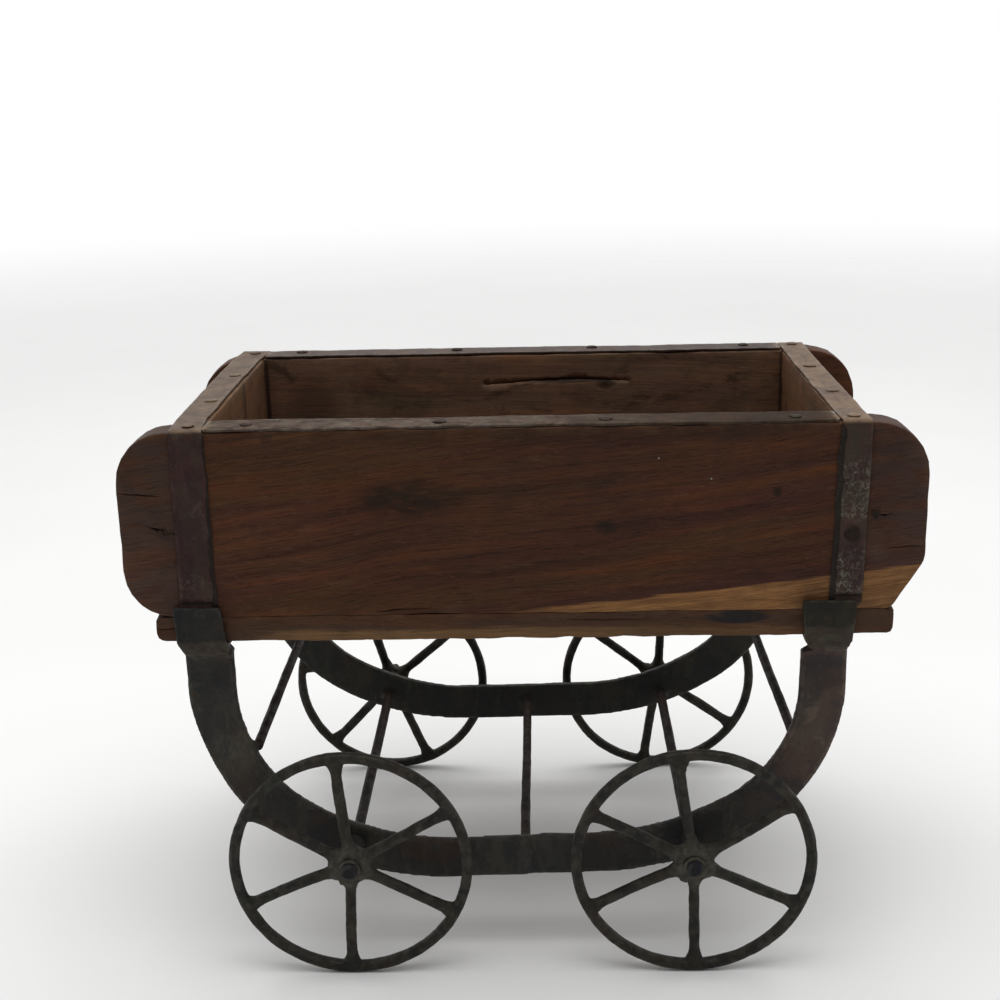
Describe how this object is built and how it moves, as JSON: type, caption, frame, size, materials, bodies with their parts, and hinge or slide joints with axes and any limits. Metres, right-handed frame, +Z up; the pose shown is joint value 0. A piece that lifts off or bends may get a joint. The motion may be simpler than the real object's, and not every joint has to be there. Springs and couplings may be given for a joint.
{
  "type": "planter cart",
  "caption": "Wooden brick-mould planter box with iron straps on a small iron carriage whose spoked wheels turn on fixed axles.",
  "frame": {"origin": "on the ground plane, under the middle of the cart's bounding box", "axes": "+X along the cart in its rolling direction, to the right seen from the front; +Y from the front face to the rear; +Z up"},
  "size_m": [0.327, 0.2088, 0.2409],
  "materials": {
    "wood_mould": "dark oiled reclaimed hardwood, worn and stained",
    "wood_base": "worn reclaimed hardwood with a pale sapwood edge",
    "strap_iron": "rusted and pitted strap iron",
    "nail_iron": "dark hand-forged iron",
    "frame_iron": "blackened bar iron with brown and green patina",
    "axle_iron": "dark rod iron, worn",
    "wheel_iron": "blackened rod iron with rust and worn high spots"
  },
  "bodies": {
    "cart": {"side_board_front": "wood_mould", "side_board_rear": "wood_mould", "end_board_left": "wood_mould", "end_board_right": "wood_mould", "base_board": "wood_base", "top_strip_front": "strap_iron", "top_strip_rear": "strap_iron", "end_strap_left": "strap_iron", "end_strap_right": "strap_iron", "strip_nails_front": "nail_iron", "strip_nails_rear": "nail_iron", "strap_nails_left": "nail_iron", "strap_nails_right": "nail_iron", "drop_nails": "nail_iron", "corner_nails": "nail_iron", "base_nails": "nail_iron", "stub_nails": "nail_iron", "hoop_front": "frame_iron", "hoop_rear": "frame_iron", "bracket_front_left": "frame_iron", "bracket_front_right": "frame_iron", "bracket_rear_left": "frame_iron", "bracket_rear_right": "frame_iron", "bracket_screws": "nail_iron", "arm_welds_front": "frame_iron", "arm_welds_rear": "frame_iron", "centre_rod": "frame_iron", "side_rod_left": "frame_iron", "side_rod_right": "frame_iron", "rod_welds_front": "frame_iron", "rod_welds_rear": "frame_iron", "axle_left": "axle_iron", "axle_right": "axle_iron", "sleeve_front_left": "axle_iron", "sleeve_front_right": "axle_iron", "sleeve_rear_left": "axle_iron", "sleeve_rear_right": "axle_iron", "washer_front_left": "axle_iron", "washer_front_right": "axle_iron", "washer_rear_left": "axle_iron", "washer_rear_right": "axle_iron"},
    "wheel_front_left": {"rim_front_left": "wheel_iron", "spokes_front_left": "wheel_iron", "hub_front_left": "wheel_iron", "wheel_welds_front_left": "wheel_iron"},
    "wheel_front_right": {"rim_front_right": "wheel_iron", "spokes_front_right": "wheel_iron", "hub_front_right": "wheel_iron", "wheel_welds_front_right": "wheel_iron"},
    "wheel_rear_left": {"rim_rear_left": "wheel_iron", "spokes_rear_left": "wheel_iron", "hub_rear_left": "wheel_iron", "wheel_welds_rear_left": "wheel_iron"},
    "wheel_rear_right": {"rim_rear_right": "wheel_iron", "spokes_rear_right": "wheel_iron", "hub_rear_right": "wheel_iron", "wheel_welds_rear_right": "wheel_iron"}
  },
  "joints": [
    {"name": "front_left_spin", "type": "hinge", "parent": "cart", "child": "wheel_front_left", "pos_m": [-0.07475, -0.097, 0.052], "axis": [0, 1, 0], "continuous": true},
    {"name": "front_right_spin", "type": "hinge", "parent": "cart", "child": "wheel_front_right", "pos_m": [0.07075, -0.097, 0.052], "axis": [0, 1, 0], "continuous": true},
    {"name": "rear_left_spin", "type": "hinge", "parent": "cart", "child": "wheel_rear_left", "pos_m": [-0.07475, 0.097, 0.052], "axis": [0, 1, 0], "continuous": true},
    {"name": "rear_right_spin", "type": "hinge", "parent": "cart", "child": "wheel_rear_right", "pos_m": [0.07075, 0.097, 0.052], "axis": [0, 1, 0], "continuous": true}
  ]
}
